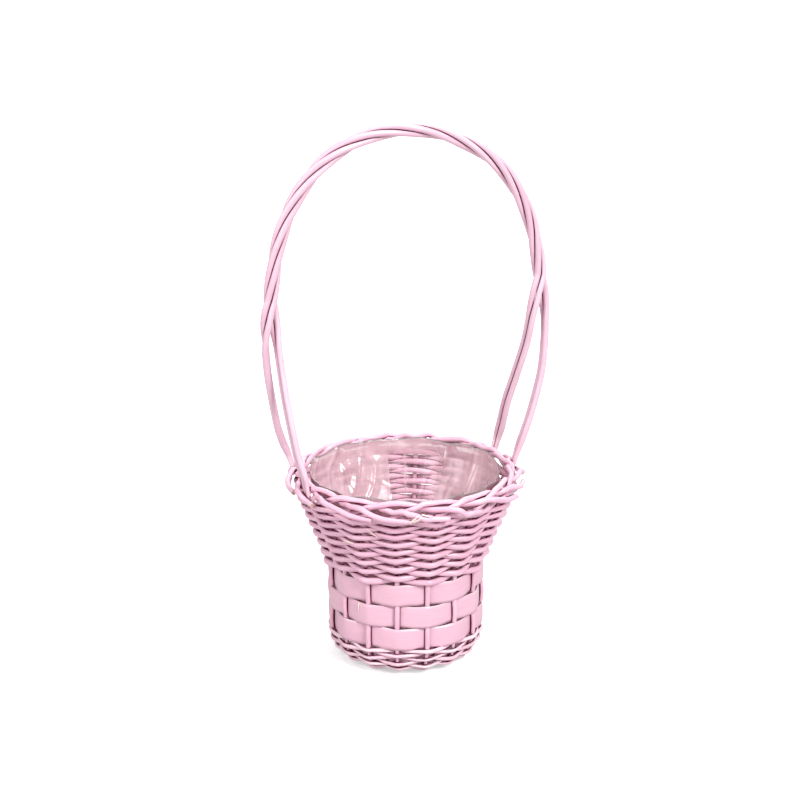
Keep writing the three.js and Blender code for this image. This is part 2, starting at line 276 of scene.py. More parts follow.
def sweep(name, centres, across, height, width, sides=12, closed=False):
    """A rod of oval section. `across` is a direction per point; the section is
    `height` square to it and `width` along it. An open rod has cut ends in the
    second material. Returns a new mesh object."""
    count = len(centres)
    if closed:
        tangent = np.roll(centres, -1, 0) - np.roll(centres, 1, 0)
    else:
        tangent = np.gradient(centres, axis=0)
    tangent /= np.linalg.norm(tangent, axis=1)[:, None]
    across = across - (across * tangent).sum(1)[:, None] * tangent
    across /= np.linalg.norm(across, axis=1)[:, None]
    other = np.cross(tangent, across)
    turn = 2 * math.pi * np.arange(sides) / sides
    ring = (
        centres[:, None, :]
        + np.cos(turn)[None, :, None] * (width[:, None, None] * across[:, None, :])
        + np.sin(turn)[None, :, None] * (height[:, None, None] * other[:, None, :])
    )
    verts = ring.reshape(-1, 3)
    quads, i, j = tube_quads(count, sides, closed)
    j2 = (j + 1) % sides
    run = run_along(np.vstack([centres, centres[:1]]))
    size = float(np.mean(width))
    start = rng.uniform(0, 10)
    corner_run = start + np.stack([run[i], run[i + 1], run[i + 1], run[i]], 1)
    corner_turn = turn[np.stack([j, j, j2, j2], 1)]
    grain = np.stack([corner_run, np.cos(corner_turn) * size, np.sin(corner_turn) * size], -1)
    faces = [tuple(q) for q in quads.tolist()]
    grain = grain.reshape(-1, 3)
    materials = np.zeros(len(faces), int)
    if not closed:
        # Cut ends: a fan of faces to a middle point
        verts = np.vstack([verts, centres[:1], centres[-1:]])
        first, last = len(verts) - 2, len(verts) - 1
        tail = (count - 1) * sides
        for k in range(sides):
            n = (k + 1) % sides
            faces.append((first, k, n))
            faces.append((last, tail + n, tail + k))
        extra = np.zeros((2 * sides * 3, 3))
        extra[:, 0] = start
        grain = np.vstack([grain, extra])
        materials = np.concatenate([materials, np.ones(2 * sides, int)])
    obj = add_object(name, verts, faces)
    obj.data.polygons.foreach_set("use_smooth", materials == 0)
    obj.data.polygons.foreach_set("material_index", materials)
    set_grain(obj.data, grain)
    obj.data.update()
    return obj


def carried_across(centres, first):
    """A direction square to the line, carried along it without twisting."""
    tangent = np.gradient(centres, axis=0)
    tangent /= np.linalg.norm(tangent, axis=1)[:, None]
    out = np.zeros_like(centres)
    current = np.asarray(first, float)
    for i, t in enumerate(tangent):
        current = current - current.dot(t) * t
        current /= np.linalg.norm(current)
        out[i] = current
    return out


# ---------------------------------------------------------------- materials

class Nodes:
    """Short names for building the node tree of a new material."""

    def __init__(self, name):
        self.material = bpy.data.materials.new(name)
        self.material.use_nodes = True
        self.tree = self.material.node_tree
        self.tree.nodes.clear()

    def add(self, kind, **values):
        node = self.tree.nodes.new(kind)
        for key, value in values.items():
            if hasattr(node, key):
                setattr(node, key, value)
            else:
                node.inputs[key].default_value = value
        return node

    def link(self, source, target):
        self.tree.links.new(source, target)

    def math(self, operation, a, b=None, clamp=False):
        node = self.add("ShaderNodeMath", operation=operation, use_clamp=clamp)
        for k, value in enumerate((a, b)):
            if value is None:
                continue
            if isinstance(value, (int, float)):
                node.inputs[k].default_value = value
            else:
                self.link(value, node.inputs[k])
        return node.outputs[0]

    def ramp(self, factor, stops):
        node = self.add("ShaderNodeValToRGB")
        ramp = node.color_ramp
        while len(ramp.elements) < len(stops):
            ramp.elements.new(0.5)
        for element, (place, color) in zip(ramp.elements, stops):
            element.position = place
            element.color = color if len(color) == 4 else (*color, 1)
        self.link(factor, node.inputs["Fac"])
        return node.outputs["Color"]

    def mix(self, factor, a, b, blend="MIX"):
        node = self.add("ShaderNodeMix", data_type="RGBA", blend_type=blend)
        sockets = [node.inputs[0], node.inputs[6], node.inputs[7]]
        for socket, value in zip(sockets, (factor, a, b)):
            if isinstance(value, (int, float)):
                socket.default_value = value
            elif isinstance(value, tuple):
                socket.default_value = (*value, 1)
            else:
                self.link(value, socket)
        return node.outputs[2]

    def stretched_noise(self, vector, scales, detail, roughness=0.55):
        scaled = self.add("ShaderNodeVectorMath", operation="MULTIPLY")
        self.link(vector, scaled.inputs[0])
        scaled.inputs[1].default_value = scales
        noise = self.add("ShaderNodeTexNoise")
        noise.inputs["Scale"].default_value = 1.0
        noise.inputs["Detail"].default_value = detail
        noise.inputs["Roughness"].default_value = roughness
        self.link(scaled.outputs[0], noise.inputs["Vector"])
        return noise.outputs["Fac"]

    def mix_shaders(self, factor, a, b):
        node = self.add("ShaderNodeMixShader")
        self.link(factor, node.inputs[0])
        self.link(a.outputs[0], node.inputs[1])
        self.link(b.outputs[0], node.inputs[2])
        return node

    def bump(self, height, strength, distance):
        node = self.add("ShaderNodeBump", Strength=strength, Distance=distance)
        self.link(height, node.inputs["Height"])
        return node.outputs["Normal"]

    def surface(self, shader):
        """Makes a shader the material's surface, and returns the material."""
        output = self.add("ShaderNodeOutputMaterial")
        self.link(shader.outputs[0], output.inputs["Surface"])
        return self.material


# Paint colours, linear
PAINT = (0.800, 0.480, 0.600)
PAINT_PALE = (0.860, 0.560, 0.670)
PAINT_DEEP = (0.640, 0.280, 0.420)
# Paler pink for the blotches of the foot rods' paint, all round each rod
FOOT_PALE_PINK = (0.950, 0.780, 0.800)
HANDLE_TONE = (0.800, 0.540, 0.640)
HANDLE_PALE = (0.860, 0.620, 0.710)
SPLINT_TONE = (0.800, 0.500, 0.600)
SPLINT_PALE = (0.850, 0.550, 0.645)
# Pale colour of the splints' edges: partly worn paint, partly a painted highlight
WORN_AND_LIT = (0.900, 0.800, 0.790)
BARE_WOOD = (0.480, 0.330, 0.190)
CUT_WOOD = (0.720, 0.540, 0.430)
CUT_WOOD_DARK = (0.360, 0.220, 0.170)
SLIVER_PALE = (0.980, 0.900, 0.800)
SLIVER_DARK = (0.840, 0.660, 0.600)
BLACK = (0.0, 0.0, 0.0)
WHITE = (1.0, 1.0, 1.0)

# Painted shade: what the paint colour is multiplied by in the gaps between rods, where ambient
# occlusion is low
NOOK_SHADE = (0.500, 0.220, 0.340)
CREVICE_SHADE = (0.090, 0.007, 0.022)

# How far in from its edges a splint is painted pale: partly worn paint, partly a painted
# highlight where the edges catch the light
WORN_AND_LIT_EDGE = 0.9 * MM


def painted_rod_material(name, paint, pale, wear=0.64, streaks=1.0, nook=5 * MM, worn_and_lit_edges=0.0):
    """Satin paint over a rod: lengthwise grain, blotches of thinner and thicker paint, rubbed
    spots of bare wood, and painted shade, a deep colour in crevices up to `nook` deep. `wear` is
    the noise level above which the wood is bare; `worn_and_lit_edges` is the height of a splint
    whose edges are painted pale, partly as rubbed paint and partly as a painted highlight."""
    n = Nodes(name)
    grain = n.add("ShaderNodeAttribute", attribute_name="grain").outputs["Vector"]
    info = n.add("ShaderNodeObjectInfo")
    blotch = n.stretched_noise(grain, (45, 260, 260), 3)
    streak = n.stretched_noise(grain, (90, 1500, 1500), 4, 0.6)
    fine = n.stretched_noise(grain, (900, 2600, 2600), 3, 0.6)
    spots = n.stretched_noise(grain, (75, 330, 330), 4, 0.62)

    color = n.mix(n.ramp(blotch, [(0.30, BLACK), (0.70, WHITE)]), paint, pale)
    tint = n.math("MULTIPLY", info.outputs["Random"], 0.30)
    color = n.mix(tint, color, PAINT_DEEP)
    dark_streak = n.ramp(streak, [(0.30, WHITE), (0.47, BLACK)])
    color = n.mix(n.math("MULTIPLY", dark_streak, 0.32 * streaks), color, PAINT_DEEP)

    # Painted shade: the paint is multiplied towards a deep colour where ambient occlusion finds
    # other rods close by
    occlusion = n.add("ShaderNodeAmbientOcclusion", samples=12)
    occlusion.inputs["Distance"].default_value = nook
    depth = [(0.36, CREVICE_SHADE), (0.51, NOOK_SHADE), (0.70, WHITE)]
    color = n.mix(1.0, color, n.ramp(occlusion.outputs["AO"], depth), "MULTIPLY")
    open_to_light = n.ramp(occlusion.outputs["AO"], [(0.40, BLACK), (0.72, WHITE)])

    rubbed = n.ramp(spots, [(wear, BLACK), (wear + 0.05, WHITE)])
    rubbed = n.math("MULTIPLY", rubbed, n.ramp(fine, [(0.40, BLACK), (0.62, WHITE)]))
    color = n.mix(n.math("MULTIPLY", rubbed, 0.75), color, BARE_WOOD)
    # Paler paint along a splint's top and bottom edges: partly rubbed paint, partly a painted
    # highlight where the edges catch the light
    if worn_and_lit_edges:
        up = n.add("ShaderNodeSeparateXYZ")
        n.link(grain, up.inputs[0])
        off = n.math("ABSOLUTE", n.math("SUBTRACT", up.outputs["Y"], worn_and_lit_edges / 2))
        near = n.math("SUBTRACT", off, worn_and_lit_edges / 2 - WORN_AND_LIT_EDGE)
        near = n.math("MULTIPLY", near, 1 / WORN_AND_LIT_EDGE, clamp=True)
        patchy = n.ramp(blotch, [(0.42, BLACK), (0.58, WHITE)])
        color = n.mix(n.math("MULTIPLY", n.math("MULTIPLY", near, patchy), 0.85), color, WORN_AND_LIT)

    height = n.math("ADD", n.math("MULTIPLY", streak, 0.8), n.math("MULTIPLY", fine, 0.25))
    height = n.math("SUBTRACT", height, n.math("MULTIPLY", rubbed, 0.5))

    shader = n.add("ShaderNodeBsdfPrincipled")
    n.link(color, shader.inputs["Base Color"])
    roughness = n.math("ADD", n.math("MULTIPLY", blotch, 0.22), 0.30)
    n.link(n.math("ADD", roughness, n.math("MULTIPLY", rubbed, 0.3)), shader.inputs["Roughness"])
    n.link(n.math("MULTIPLY", open_to_light, 0.60), shader.inputs["Coat Weight"])
    n.link(n.math("MULTIPLY", open_to_light, 0.5), shader.inputs["Specular IOR Level"])
    shader.inputs["Coat Roughness"].default_value = 0.24
    n.link(n.bump(height, 0.5, 0.25 * MM), shader.inputs["Normal"])
    return n.surface(shader)


def cut_end_material():
    """Cut end of a rod: pale fibrous wood with some paint run over it."""
    n = Nodes("cut_end")
    place = n.add("ShaderNodeTexCoord").outputs["Object"]
    fibre = n.stretched_noise(place, (1600, 1600, 1600), 3)
    paint = n.stretched_noise(place, (260, 260, 260), 2)
    color = n.mix(fibre, CUT_WOOD, CUT_WOOD_DARK)
    over = n.ramp(paint, [(0.45, BLACK), (0.6, WHITE)])
    color = n.mix(n.math("MULTIPLY", over, 0.8), color, PAINT)
    shader = n.add("ShaderNodeBsdfPrincipled", Roughness=0.75)
    n.link(color, shader.inputs["Base Color"])
    n.link(n.bump(fibre, 0.5, 0.2 * MM), shader.inputs["Normal"])
    return n.surface(shader)


def sliver_material():
    """A raised sliver: its torn face shows the pale wood under the paint."""
    n = Nodes("sliver")
    grain = n.add("ShaderNodeAttribute", attribute_name="grain").outputs["Vector"]
    streak = n.stretched_noise(grain, (250, 2500, 2500), 3)
    color = n.mix(streak, SLIVER_PALE, SLIVER_DARK)
    shader = n.add("ShaderNodeBsdfPrincipled", Roughness=0.6)
    n.link(color, shader.inputs["Base Color"])
    n.link(n.bump(streak, 0.4, 0.1 * MM), shader.inputs["Normal"])
    return n.surface(shader)


WEAVER_PAINT = painted_rod_material("paint_weaver", PAINT, PAINT_PALE, wear=0.70)
FOOT_PAINT = painted_rod_material("paint_foot", PAINT_PALE, FOOT_PALE_PINK, wear=0.66, nook=7 * MM)
STAKE_PAINT = painted_rod_material("paint_stake", PAINT, PAINT_PALE, wear=0.69)
HANDLE_PAINT = painted_rod_material(
    "paint_handle", HANDLE_TONE, HANDLE_PALE, wear=0.65, nook=3 * MM
)
SPLINT_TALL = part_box("splint_band_1")[1].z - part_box("splint_band_1")[0].z
SPLINT_PAINT = painted_rod_material(
    "paint_splint",
    SPLINT_TONE,
    SPLINT_PALE,
    wear=0.74,
    streaks=0.5,
    nook=2.5 * MM,
    worn_and_lit_edges=SPLINT_TALL,
)
CUT_END = cut_end_material()
SLIVER = sliver_material()


def dress(obj, materials, body, slot, *stands_for):
    """Gives a piece its materials and body, and hides the CAD nodes it stands for; `slot` is not
    used.
    """
    for material in materials:
        obj.data.materials.append(material)
    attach(obj, body)
    if stands_for:
        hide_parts(*stands_for)
    return obj


# ---------------------------------------------------------------- wall line

# Half the angle at +X in which a round's points count as beside the stake
AT_STAKE = 0.02


def node_points(node):
    return mesh_points(NODES[node].data)


def ring_middle(node):
    """Mean radius and height of a round of weaving: its place on the wall line."""
    co = node_points(node)
    return np.hypot(co[:, 0], co[:, 1]).mean(), co[:, 2].mean()


def ring_is_outside(node):
    """Whether a round passes the stake that stands on +X on the wall's outer side,
    which is further out and, on the base and the flare, lower."""
    co = node_points(node)
    here = co[np.abs(np.arctan2(co[:, 1], co[:, 0])) < AT_STAKE]
    radius, z = ring_middle(node)
    further_out = np.hypot(here[:, 0], here[:, 1]).mean() - radius
    higher = here[:, 2].mean() - z
    return further_out > higher


def wall_line():
    rings = [ring_middle(f"base_weaver_{i + 1}") for i in range(BASE_ROWS)]
    rings += [ring_middle(f"foot_weaver_{i + 1}") for i in range(FOOT_ROWS)]
    rings += [ring_middle(f"splint_band_{i + 1}") for i in range(SPLINT_ROWS)]
    rings += [ring_middle(f"flare_weaver_{i + 1}") for i in range(FLARE_ROWS)]
    start = (SPLAY_R * MM, rings[0][1])
    _, radial, height = BORDER_PATH[0]
    top = ((BORDER_R + radial) * MM, (BORDER_Z + height) * MM)
    return smooth_line([start, *rings, top], 12)


WALL = wall_line()
WALL_RUN = run_along(WALL)
WALL_SLOPE = np.gradient(WALL, WALL_RUN, axis=0)


def wall_at(run):
    """Radius, height and outward normal of the wall line at a distance along it."""
    r = np.interp(run, WALL_RUN, WALL[:, 0])
    z = np.interp(run, WALL_RUN, WALL[:, 1])
    dr = np.interp(run, WALL_RUN, WALL_SLOPE[:, 0])
    dz = np.interp(run, WALL_RUN, WALL_SLOPE[:, 1])
    return r, z, dz, -dr


def run_of(node):
    radius, z = ring_middle(node)
    return WALL_RUN[np.argmin((WALL[:, 0] - radius) ** 2 + (WALL[:, 1] - z) ** 2)]


# ---------------------------------------------------------------- weaving

WEAVE_POINTS = 384
WEAVER_KINK = 0.93
SPLINT_KINK = 0.975
SPLINT_ACROSS = 9


def weaver_ring(node, rod_r, taller, unevenness, stake_r=STAKE_R, swing_share=1.0, paint=None):
    """One round of plain weaving, in front of one stake and behind the next. Where
    the stakes stand close it swings wider, to clear them on its steep way across."""
    angle = 2 * math.pi * np.arange(WEAVE_POINTS) / WEAVE_POINTS
    rise = wander(angle, 14, 0.35 * unevenness * MM)
    r, z, nr, nz = wall_at(run_of(node) + rise)
    thick = rod_r * (1 + wander(angle, 9, 0.07 * unevenness))
    side = 1 if ring_is_outside(node) else -1
    half_spacing = r * STEP / 2
    reach = stake_r + rod_r
    steep = 1 / np.sqrt(1 / reach ** 2 - 1 / half_spacing ** 2)
    swing = np.maximum(reach + GAP, steep)
    swing = swing * swing_share * (1 + wander(angle, 12, 0.03 * unevenness))
    offset = side * swing * kinked(angle, WEAVER_KINK)
    centres = polar(r + offset * nr, angle, z + offset * nz)
    across = polar(nr, angle, nz)
    obj = sweep(f"woven_{node}", centres, across, thick * taller, thick, closed=True)
    keep_above_floor(obj)
    return dress(obj, [paint or WEAVER_PAINT], "basket", "weaver_rods", node)


def weave_rounds():
    for i in range(BASE_ROWS):
        weaver_ring(f"base_weaver_{i + 1}", BASE_ROD_R, 1.0, 0.6)
    for i in range(FOOT_ROWS):
        weaver_ring(
            f"foot_weaver_{i + 1}",
            FOOT_ROD_R,
            taller=1.1,
            unevenness=2.0,
            stake_r=STAKE_FOOT_R,
            swing_share=0.85,
            paint=FOOT_PAINT,
        )
    for i in range(FLARE_ROWS):
        share = i / (FLARE_ROWS - 1)
        rod_r = FLARE_ROD_LOW_R + (FLARE_ROD_HIGH_R - FLARE_ROD_LOW_R) * share
        weaver_ring(f"flare_weaver_{i + 1}", rod_r, FLARE_ROD_TALLER, 1.25)


weave_rounds()


# ---------------------------------------------------------------- splints

def splint_ring(node):
    """A flat splint woven round the waist, gently crowned, thin and uneven at its
    edges."""
    low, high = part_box(node)
    radius, _ = ring_middle(node)
    side = 1 if ring_is_outside(node) else -1
    swing = STAKE_WAIST_R - STAKE_BOW + GAP + SPLINT_THICK / 2
    angle = 2 * math.pi * np.arange(WEAVE_POINTS) / WEAVE_POINTS
    middle = radius + side * swing * kinked(angle, SPLINT_KINK)
    bottom = low.z + wander(angle, 20, 0.35 * MM) - 0.3 * MM
    top = high.z + wander(angle, 20, 0.35 * MM) + 0.3 * MM
    rise = np.linspace(0, 1, SPLINT_ACROSS)
    outline = [(share, 0.5) for share in rise] + [(share, -0.5) for share in 1 - rise]
    verts = []
    for share, face in outline:
        edge = abs(2 * share - 1)
        thin = 1 - 0.55 * edge ** 6
        crown = 0.3 * MM * (1 - edge ** 2) - 0.15 * MM
        place = middle + face * SPLINT_THICK * thin + crown
        z = bottom + share * (top - bottom)
        verts.append(polar(place, angle, z))
    verts = np.stack(verts, 1)
    count, sides = verts.shape[:2]
    quads, i, j = tube_quads(count, sides, closed=True)
    j2 = (j + 1) % sides
    run = radius * np.arange(count + 1) * 2 * math.pi / count
    start = rng.uniform(0, 10)
    up = np.array([share for share, _ in outline]) * (high.z - low.z)
    depth = np.array([face for _, face in outline]) * SPLINT_THICK
    corner_i = np.stack([i, i + 1, i + 1, i], 1)
    corner_j = np.stack([j, j, j2, j2], 1)
    grain = np.stack([start + run[corner_i], up[corner_j], depth[corner_j]], -1)
    obj = add_object(f"woven_{node}", verts.reshape(-1, 3), [tuple(q) for q in quads.tolist()])
    set_grain(obj.data, grain)
    obj.data.update()
    return dress(obj, [SPLINT_PAINT], "basket", "splint", node)


SPLINT_NODES = [f"splint_band_{i + 1}" for i in range(SPLINT_ROWS)]
for splint_node in SPLINT_NODES:
    splint_ring(splint_node)

# Each splint's height, and its side of the stake on +X: 1 outside, -1 inside
SPLINTS = [(ring_middle(node)[1], 1 if ring_is_outside(node) else -1) for node in SPLINT_NODES]
SPLINT_PITCH = SPLINTS[1][0] - SPLINTS[0][0]


# ---------------------------------------------------------------- stakes and border

def stake_half(spoke, lateral, heading, level):
    """One half of a stake rod: base, wall, then its way round the border."""
    base = []
    for out in CROSS_OUT:
        inner = math.atan2(lateral, out)
        base.append(polar(math.hypot(lateral, out) * MM, heading + inner, level))
    wall = even_wall(spoke)
    border = []
    reach = rng.uniform(-TAIL_REACH, TAIL_REACH)
    for steps, radial, height in BORDER_PATH[1:]:
        late = smoothstep(steps, TAIL_FROM, TAIL_TO) * reach
        angle = spoke + (steps + late) * STEP
        radial += rng.normal(0, BORDER_UNEVEN)
        height += rng.normal(0, BORDER_UNEVEN)
        border.append(polar((BORDER_R + radial) * MM, angle, (BORDER_Z + height) * MM))
    line = smooth_line([*base, *wall, *border], 6)
    return even_line(line, ROD_SPACING)


def even_wall(spoke):
    """The wall part of a stake, bowed away from each splint that presses on it."""
    runs = np.linspace(0, WALL_RUN[-1], 60)
    r, z, nr, nz = wall_at(runs)
    parity = 1 if round(spoke / STEP) % 2 == 0 else -1
    bow = np.zeros_like(z)
    for middle, side in SPLINTS:
        near = np.clip((z - middle) / SPLINT_PITCH, -1, 1)
        bow -= parity * side * STAKE_BOW * np.cos(near * math.pi / 2) ** 2
    return list(polar(r + bow * nr, spoke, z + bow * nz))


def stake_radius(line):
    """Radius along a stake rod: thin at the foot, stout at the waist and in the
    border, and tapered at both tips."""
    run = run_along(line)
    height = line[:, 2]
    out = np.hypot(line[:, 0], line[:, 1])
    from_tip = np.minimum(run, run[-1] - run)
    border = 1 - smoothstep(from_tip, *BORDER_LENGTH)
    waist = (1 - smoothstep(height, *WAIST_TO_BOWL)) * smoothstep(height, *FOOT_TO_WAIST)
    foot = (1 - smoothstep(height, *FOOT_TO_WAIST)) * smoothstep(out, *FOOT_OUT_FROM)
    radius = STAKE_R + (BORDER_ROD_R - STAKE_R) * border
    radius = radius + (STAKE_WAIST_R - STAKE_R) * waist + (STAKE_FOOT_R - STAKE_R) * foot
    radius = radius * (1 + wander_open(len(line), 25, 0.04))
    return radius * (STAKE_TIP_SHARE + (1 - STAKE_TIP_SHARE) * smoothstep(from_tip, 0, TIP_TAPER))


def stake_rod(layer, number):
    """A long rod: up one wall into the border from a spoke, and the same behind."""
    heading = CROSS_TURN + layer * math.pi / 2
    place = number - (CROSS_GROUP - 1) / 2
    node = f"stake_rod_{layer * CROSS_GROUP + number + 1}"
    low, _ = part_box(node)
    level = low.z + SPOKE_LEVEL
    lateral = place * CROSS_PITCH + (CROSS_PITCH / 2 if layer == 0 else 0)
    ahead = stake_half(heading + place * STEP, lateral, heading, level)
    behind = stake_half(heading + math.pi - place * STEP, -lateral, heading + math.pi, level)
    line = even_line(np.vstack([behind[::-1], ahead]), ROD_SPACING)
    line[:, :2] += np.stack([wander_open(len(line), 18, 0.15 * MM) for _ in range(2)], 1)
    radius = stake_radius(line)
    across = carried_across(line, (0, 0, 1))
    obj = sweep(f"rod_{node}", line, across, radius, radius)
    keep_above_floor(obj)
    return dress(obj, [STAKE_PAINT, CUT_END], "basket", "stake_rods", node)


for layer in range(2):
    for number in range(CROSS_GROUP):
        stake_rod(layer, number)


# ---------------------------------------------------------------- loose ends

ABOVE_FOOT = WALL[:, 1] > 20 * MM
CURL = 0.22


def run_at_height(z):
    """Distance along the wall line at a height above the foot."""
    return np.interp(z, WALL[ABOVE_FOOT, 1], WALL_RUN[ABOVE_FOOT])


def splinter(number, degrees, height, lean, length, thick, stand_off):
    """A pale sliver lifted off a rod: it starts on the rod and curls away."""
    angle = math.radians(degrees)
    tilt = math.radians(lean)
    r, _, nr, nz = wall_at(run_at_height(height * MM))
    out = np.array([nr * math.cos(angle), nr * math.sin(angle), nz])
    along = np.array([-math.sin(angle), math.cos(angle), 0.0])
    up = np.cross(out, along)
    root = polar(r + nr * stand_off * MM, angle, height * MM)
    t = np.linspace(0, 1, 14)[:, None]
    heading = along * math.cos(tilt) - up * math.sin(tilt)
    line = root + (heading * t + out * (t - t ** 2 * 0.4) * CURL) * length * MM
    radius = thick * MM * (1 - 0.7 * t[:, 0] ** 2)
    across = carried_across(line, out)
    obj = sweep(f"splinter_{number}", line, across, radius, radius * 1.6, sides=6)
    dress(obj, [SLIVER, SLIVER], "basket", "weaver_rods")


# Slivers as (azimuth, height, lean below level, length, half thickness, distance
# off the wall line), in degrees and millimetres; the third to the fifth are the
# frayed end of a rod of the border
SLIVERS = [
    (-127.0, 144.5, 38, 11.5, 0.50, 2.6),
    (-136.5, 127.5, 198, 9.0, 0.60, 5.2),
    (-104.5, 157.0, -50, 11.0, 0.70, 11.7),
    (-103.0, 157.6, -36, 9.0, 0.60, 11.7),
    (-99.0, 163.5, 12, 9.0, 0.55, 10.2),
    (-142.5, 66.0, 84, 6.5, 0.50, 1.3),
    (-82.0, 117.5, 24, 6.0, 0.50, 3.0),
    (33.5, 139.0, 35, 9.0, 0.50, 2.0),
    (98.0, 110.0, -25, 7.0, 0.50, 3.0),
    (150.0, 132.0, 30, 8.0, 0.50, 3.1),
]
for number, sliver in enumerate(SLIVERS):
    splinter(number + 1, *sliver)


# ---------------------------------------------------------------- handle

def leg_line(crossing, leg):
    """Middle of a pair of rods from the crossing down into the border, with the
    direction in which the two rods lie side by side."""
    rim = math.radians(leg["azimuth"])
    foot = [polar(BORDER_R + radial, rim, BORDER_Z + height) for radial, height in leg["slot"]]
    line = smooth_line([crossing, *leg["line"], *foot], 12)
    along_rim = (rim + math.pi / 2) % math.pi
    share = smoothstep(line[:, 2], crossing[2] - HANDLE_UNTWIST, crossing[2])
    spread = polar(1.0, along_rim + (math.pi - along_rim) * share, 0.0)
    return line[1:], spread[1:]


def pair_line(left, right, start_turn):
    """Middle of a pair of rods from one end to the other: up a left leg, wound
    round the other pair over the arch, and down a right leg."""
    arch = smooth_line([(x, HANDLE_Y, z) for x, z in ARCH], 14)
    arch = even_line(arch, 1.5)
    along = np.gradient(arch, axis=0)
    along /= np.linalg.norm(along, axis=1)[:, None]
    out = np.stack([-along[:, 2], np.zeros(len(arch)), along[:, 0]], 1)
    depth = np.array([0.0, 1.0, 0.0])
    share = np.linspace(0, 1, len(arch))[:, None]
    turn = start_turn - 2 * math.pi * HANDLE_TURNS * share
    rope = arch + HANDLE_SPREAD * (out * np.cos(turn) + depth * np.sin(turn))
    rope_spread = -out * np.sin(turn) + depth * np.cos(turn)
    left_line, left_spread = leg_line(rope[0], left)
    right_line, right_spread = leg_line(rope[-1], right)
    if left_spread[0] @ rope_spread[0] < 0:
        rope_spread = -rope_spread
    if right_spread[0] @ rope_spread[-1] < 0:
        right_spread = -right_spread
    line = np.vstack([left_line[::-1], rope, right_line])
    spread = np.vstack([left_spread[::-1], rope_spread, right_spread])
    along = np.gradient(line, axis=0)
    along /= np.linalg.norm(along, axis=1)[:, None]
    spread -= (spread * along).sum(1)[:, None] * along
    spread /= np.linalg.norm(spread, axis=1)[:, None]
    return line, spread


def handle_radius(height):
    """Radius of a handle rod at a height, both in millimetres."""
    return HANDLE_TIP_R + (HANDLE_ROD_R - HANDLE_TIP_R) * smoothstep(height, *HANDLE_TAPER)


def handle_rod(number, line, spread, sign):
    """One rod of a pair, on the side `sign` of the pair's middle line."""
    half = handle_radius(line[:, 2]) + HANDLE_GAP / 2
    centres = even_line((line + sign * half[:, None] * spread) * MM, ROD_SPACING)
    radius = handle_radius(centres[:, 2] / MM) * MM
    radius = radius * (1 + wander_open(len(centres), 30, 0.035))
    across = carried_across(centres, (1, 0, 0))
    name = f"handle_rod_{number}"
    obj = sweep(f"twisted_{name}", centres, across, radius, radius, sides=14)
    return dress(obj, [HANDLE_PAINT, CUT_END], "basket", "handle_rods", name)


for pair, (left, right, turn) in enumerate([
    (LEFT_BACK, RIGHT_FRONT, -math.pi / 2),
    (LEFT_FRONT, RIGHT_BACK, math.pi / 2),
]):
    line, spread = pair_line(left, right, turn)
    handle_rod(2 * pair + 1, line, spread, 1)
    handle_rod(2 * pair + 2, line, spread, -1)


# ---------------------------------------------------------------- film liner

FILM_AROUND = 480
FILM_SPACING = 1.5 * MM
FILM_THICK = 0.15 * MM
FILM_HUB_R = 4 * MM
FILM_SEED = 5

# Degrees between which the film lies tight on the weave and is clear
CLEAR_FROM = 54
CLEAR_TO = 85.5

# Film colours, linear: what shows through it, its haze from thin to thick, the painted highlight
# of its most crumpled and creased parts, its haze in the shade of the weave, and its cut edge
FILM_TINT = (0.970, 0.955, 0.960)
# The two haze colours below: the film's milkiness, tinted pink as painted bounce light from the
# pink weave around and behind it
HAZE_THIN = (0.540, 0.360, 0.400)
HAZE_THICK = (0.730, 0.510, 0.560)
HAZE_HIGHLIGHT = (0.980, 0.870, 0.900)
HAZE_IN_SHADE = (0.180, 0.030, 0.065)
FILM_EDGE = (0.100, 0.160, 0.130)
SHADE_REACH = 14 * MM

# Sharp creases as (azimuth, slant in degrees per millimetre, middle, half length),
# with the middle measured from the film's edge
FILM_CREASES = [
    (74.0, 0.02, -34 * MM, 22 * MM),
    (22.0, -0.05, -30 * MM, 20 * MM),
    (118.0, 0.10, -30 * MM, 18 * MM),
    (131.0, -0.08, -38 * MM, 20 * MM),
    (47.0, 0.03, -16 * MM, 10 * MM),
    (106.0, -0.20, -22 * MM, 14 * MM),
]
CREASE_HALF_WIDTH = 0.9

# Heavily crumpled patches as (strength, azimuth, half width in degrees, middle,
# half height), with the middle measured from the film's edge
FILM_PATCHES = [
    (1.0, 99, 9, -35 * MM, 22 * MM),
    (0.7, 18, 5, -25 * MM, 25 * MM),
]

# Heights of the film's relief, in millimetres
FOLD_HIGH = 1.6
CREASE_HIGH = 1.8
PULLED_HIGH = 1.6
CRUMPLE_HIGH = 0.25

# How milky loose film is, and the band below the edge that is milky all round
LOOSE_HAZE = 0.46
TOP_BAND = (18 * MM, 8 * MM)

film_rng = np.random.default_rng(FILM_SEED)


